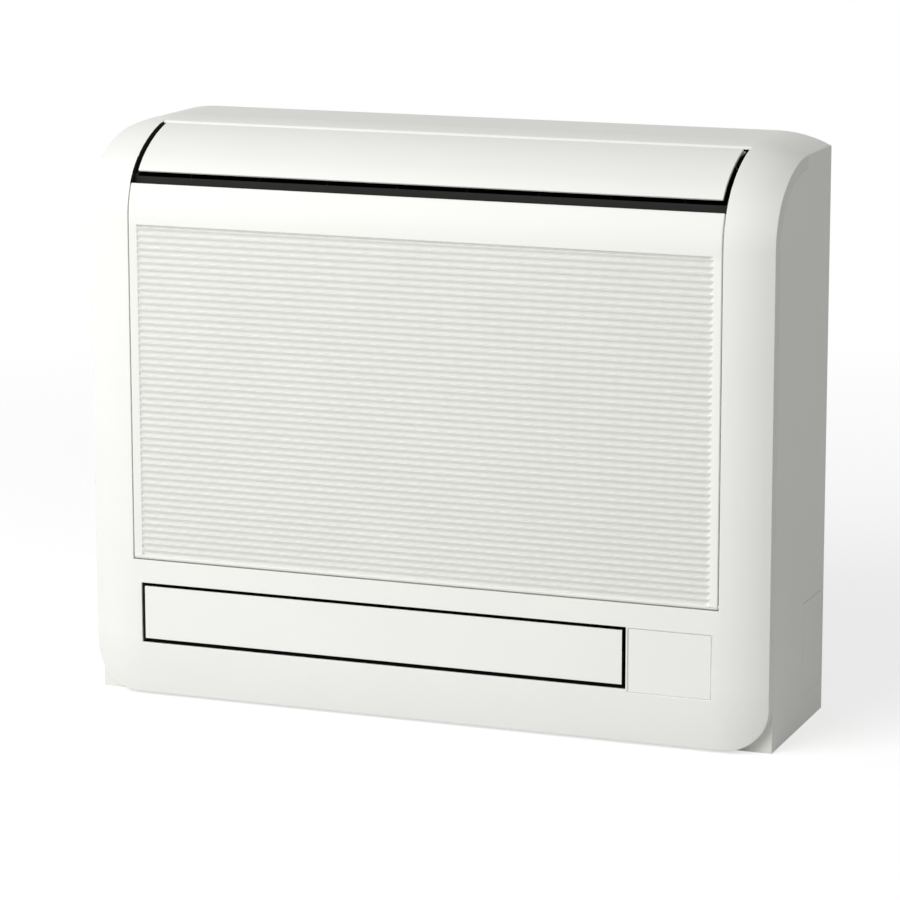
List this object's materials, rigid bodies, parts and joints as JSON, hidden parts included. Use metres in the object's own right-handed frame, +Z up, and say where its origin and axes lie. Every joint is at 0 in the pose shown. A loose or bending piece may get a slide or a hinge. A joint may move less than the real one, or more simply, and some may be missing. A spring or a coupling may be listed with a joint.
{
  "type": "floor-standing console air conditioner",
  "caption": "White console air conditioner with a louvred tip-out grille, a curved upper outlet flap, a lower outlet door, a turbo fan, coil, filters and pipe unions.",
  "frame": {"origin": "on the floor, under the middle of the unit's outline", "axes": "+X to the right as seen from the front, +Y to the back wall, +Z up"},
  "size_m": [0.736, 0.21, 0.6],
  "materials": {
    "white_abs": "fine satin moulded ABS, warm white",
    "dark_abs": "matt dark grey ABS",
    "grey_plastic": "moulded grey plastic",
    "galvanised_steel": "galvanised sheet",
    "bright_steel": "turned or plated steel",
    "aluminium_fins": "thin stacked fins",
    "copper": "drawn copper tube",
    "brass_nuts": "machined brass",
    "black_rubber": "moulded rubber",
    "acetal": "natural acetal",
    "filter_net": "woven plastic net",
    "green_board": "lacquered circuit board",
    "black_plastic": "black moulded parts"
  },
  "bodies": {
    "casing": {"air_filter_left": "grey_plastic", "air_filter_right": "grey_plastic", "back_panel": "white_abs", "board_components": "black_plastic", "board_standoffs": "bright_steel", "cable_clamp": "grey_plastic", "coil_end_plates": "galvanised_steel", "coil_tubes": "copper", "control_board": "green_board", "control_box": "galvanised_steel", "control_box_lid": "galvanised_steel", "drain_pan": "white_abs", "drain_spout": "white_abs", "fan_housing": "white_abs", "fan_motor": "galvanised_steel", "fan_orifice_plate": "white_abs", "filter_frame": "grey_plastic", "filter_meshes": "filter_net", "fin_pack": "aluminium_fins", "flare_nuts": "brass_nuts", "front_cover": "white_abs", "gas_pipe": "copper", "lid_screws": "bright_steel", "liquid_pipe": "copper", "lower_flap_bushes": "acetal", "lower_flap_motor": "bright_steel", "lower_outlet_duct": "dark_abs", "motor_bracket": "galvanised_steel", "motor_mounts": "black_rubber", "orifice_screws": "bright_steel", "pipe_cover_left": "white_abs", "pipe_cover_right": "white_abs", "rear_casing": "white_abs", "receiver_board": "green_board", "receiver_panel": "white_abs", "terminal_block": "black_plastic", "upper_flap_bushes": "acetal", "upper_flap_motor": "bright_steel", "upper_outlet_duct": "dark_abs"},
    "grille": {"intake_grille": "white_abs", "grille_hinge_pins": "bright_steel"},
    "upper_flap": {"upper_flap": "white_abs", "upper_flap_pins": "bright_steel"},
    "lower_flap": {"lower_flap": "white_abs", "lower_flap_pins": "bright_steel"},
    "fan": {"fan_wheel": "grey_plastic", "fan_shaft": "bright_steel", "fan_nut": "bright_steel"},
    "link_bar_left": {"link_bar_left": "dark_abs"},
    "link_bar_right": {"link_bar_right": "dark_abs"},
    "emergency_button": {"emergency_button": "acetal"},
    "vane_1": {"guide_vane_1": "dark_abs"},
    "vane_2": {"guide_vane_2": "dark_abs"},
    "vane_3": {"guide_vane_3": "dark_abs"},
    "vane_4": {"guide_vane_4": "dark_abs"},
    "vane_5": {"guide_vane_5": "dark_abs"},
    "vane_6": {"guide_vane_6": "dark_abs"},
    "vane_7": {"guide_vane_7": "dark_abs"},
    "vane_8": {"guide_vane_8": "dark_abs"}
  },
  "joints": [
    {"name": "grille_hinge", "type": "hinge", "parent": "casing", "child": "grille", "pos_m": [0, -0.1015, 0.1517], "axis": [1, 0, 0], "range_deg": [0, 75]},
    {"name": "upper_flap_hinge", "type": "hinge", "parent": "casing", "child": "upper_flap", "pos_m": [0, -0.024, 0.578], "axis": [-1, 0, 0], "range_deg": [0, 75]},
    {"name": "lower_flap_hinge", "type": "hinge", "parent": "casing", "child": "lower_flap", "pos_m": [-0.0436, -0.092, 0.0914], "axis": [-1, 0, 0], "range_deg": [0, 75]},
    {"name": "fan_spin", "type": "hinge", "parent": "casing", "child": "fan", "pos_m": [-0.0436, 0.05, 0.318], "axis": [0, 1, 0], "continuous": true},
    {"name": "vane_1_turn", "type": "hinge", "parent": "casing", "child": "vane_1", "pos_m": [-0.266, -0.03, 0.52], "axis": [0, 0, 1], "range_deg": [-30, 30]},
    {"name": "vane_2_turn", "type": "hinge", "parent": "casing", "child": "vane_2", "pos_m": [-0.19, -0.03, 0.52], "axis": [0, 0, 1], "range_deg": [-30, 30]},
    {"name": "vane_3_turn", "type": "hinge", "parent": "casing", "child": "vane_3", "pos_m": [-0.114, -0.03, 0.52], "axis": [0, 0, 1], "range_deg": [-30, 30]},
    {"name": "vane_4_turn", "type": "hinge", "parent": "casing", "child": "vane_4", "pos_m": [-0.038, -0.03, 0.52], "axis": [0, 0, 1], "range_deg": [-30, 30]},
    {"name": "vane_5_turn", "type": "hinge", "parent": "casing", "child": "vane_5", "pos_m": [0.038, -0.03, 0.52], "axis": [0, 0, 1], "range_deg": [-30, 30]},
    {"name": "vane_6_turn", "type": "hinge", "parent": "casing", "child": "vane_6", "pos_m": [0.114, -0.03, 0.52], "axis": [0, 0, 1], "range_deg": [-30, 30]},
    {"name": "vane_7_turn", "type": "hinge", "parent": "casing", "child": "vane_7", "pos_m": [0.19, -0.03, 0.52], "axis": [0, 0, 1], "range_deg": [-30, 30]},
    {"name": "vane_8_turn", "type": "hinge", "parent": "casing", "child": "vane_8", "pos_m": [0.266, -0.03, 0.52], "axis": [0, 0, 1], "range_deg": [-30, 30]},
    {"name": "link_left_slide", "type": "slide", "parent": "casing", "child": "link_bar_left", "axis": [1, 0, 0], "range_m": [-0.01047, 0.01047]},
    {"name": "link_right_slide", "type": "slide", "parent": "casing", "child": "link_bar_right", "axis": [1, 0, 0], "range_m": [-0.01047, 0.01047]},
    {"name": "emergency_press", "type": "slide", "parent": "casing", "child": "emergency_button", "axis": [0, 1, 0], "range_m": [0, 0.0015], "stiffness_N_per_m": 800}
  ],
  "couplings": [
    {"joint": "vane_1_turn", "follows": "link_left_slide", "rad_per_m": 50},
    {"joint": "vane_2_turn", "follows": "link_left_slide", "rad_per_m": 50},
    {"joint": "vane_3_turn", "follows": "link_left_slide", "rad_per_m": 50},
    {"joint": "vane_4_turn", "follows": "link_left_slide", "rad_per_m": 50},
    {"joint": "vane_5_turn", "follows": "link_right_slide", "rad_per_m": 50},
    {"joint": "vane_6_turn", "follows": "link_right_slide", "rad_per_m": 50},
    {"joint": "vane_7_turn", "follows": "link_right_slide", "rad_per_m": 50},
    {"joint": "vane_8_turn", "follows": "link_right_slide", "rad_per_m": 50}
  ]
}
